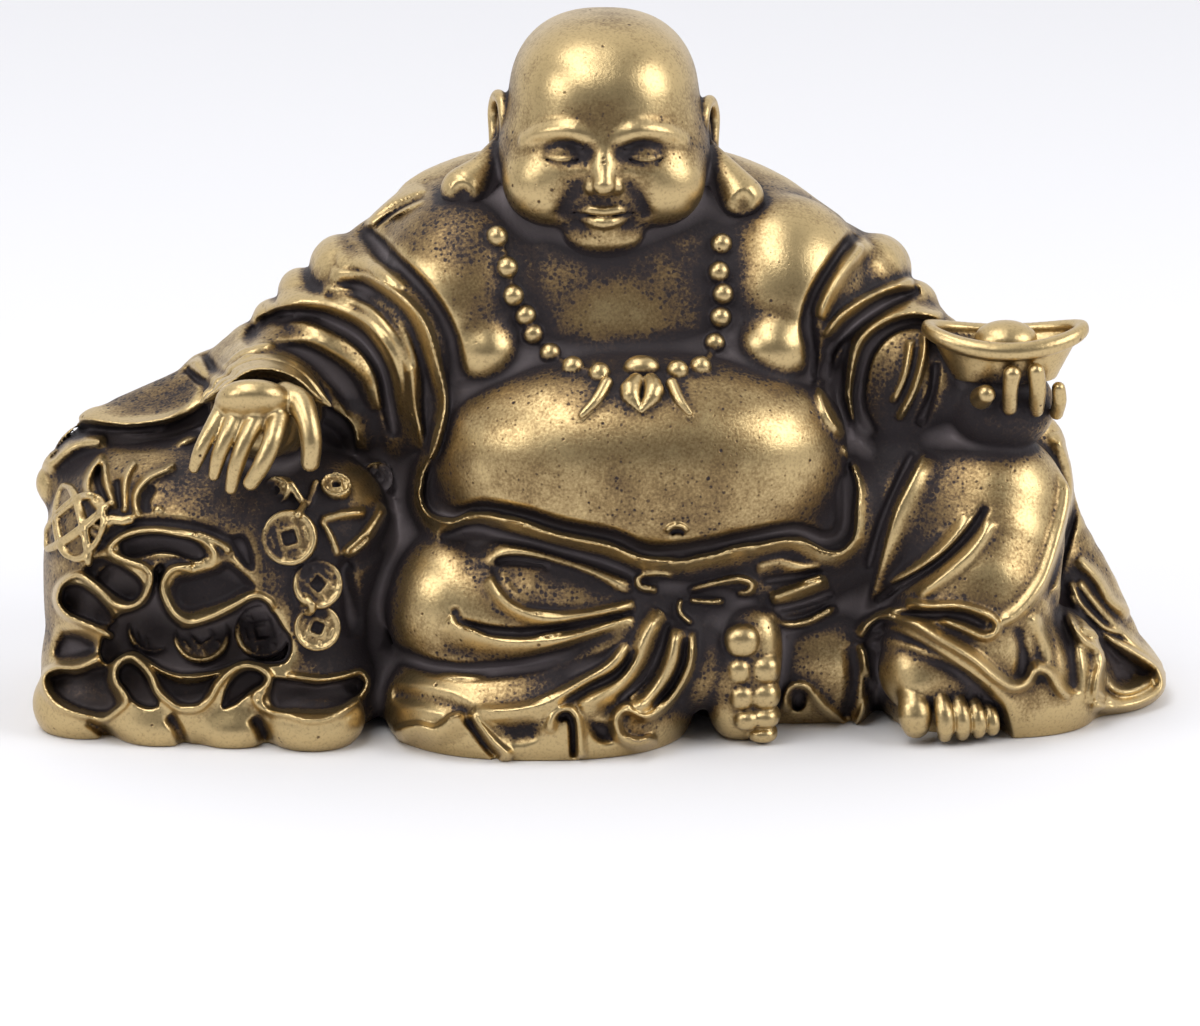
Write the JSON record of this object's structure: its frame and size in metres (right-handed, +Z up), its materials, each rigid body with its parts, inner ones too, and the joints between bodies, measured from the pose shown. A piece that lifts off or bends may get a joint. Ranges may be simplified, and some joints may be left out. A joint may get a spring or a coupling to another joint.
{
  "type": "buddha figurine",
  "caption": "Seated laughing-monk figurine in antique brass, leaning on a cloth sack and holding up an ingot.",
  "frame": {"origin": "middle of the outline on the flat underside, on the surface that the figurine stands on", "axes": "+Z up, the figure faces -Y, +X along its longest side, from the sack towards the raised knee"},
  "size_m": [0.0598, 0.0272, 0.0369],
  "materials": {
    "antique_brass": "cast brass with a dark brown patina in the hollows, rubbed bright on the high places"
  },
  "bodies": {
    "root": {"buddha_figurine": "antique_brass"}
  },
  "joints": []
}
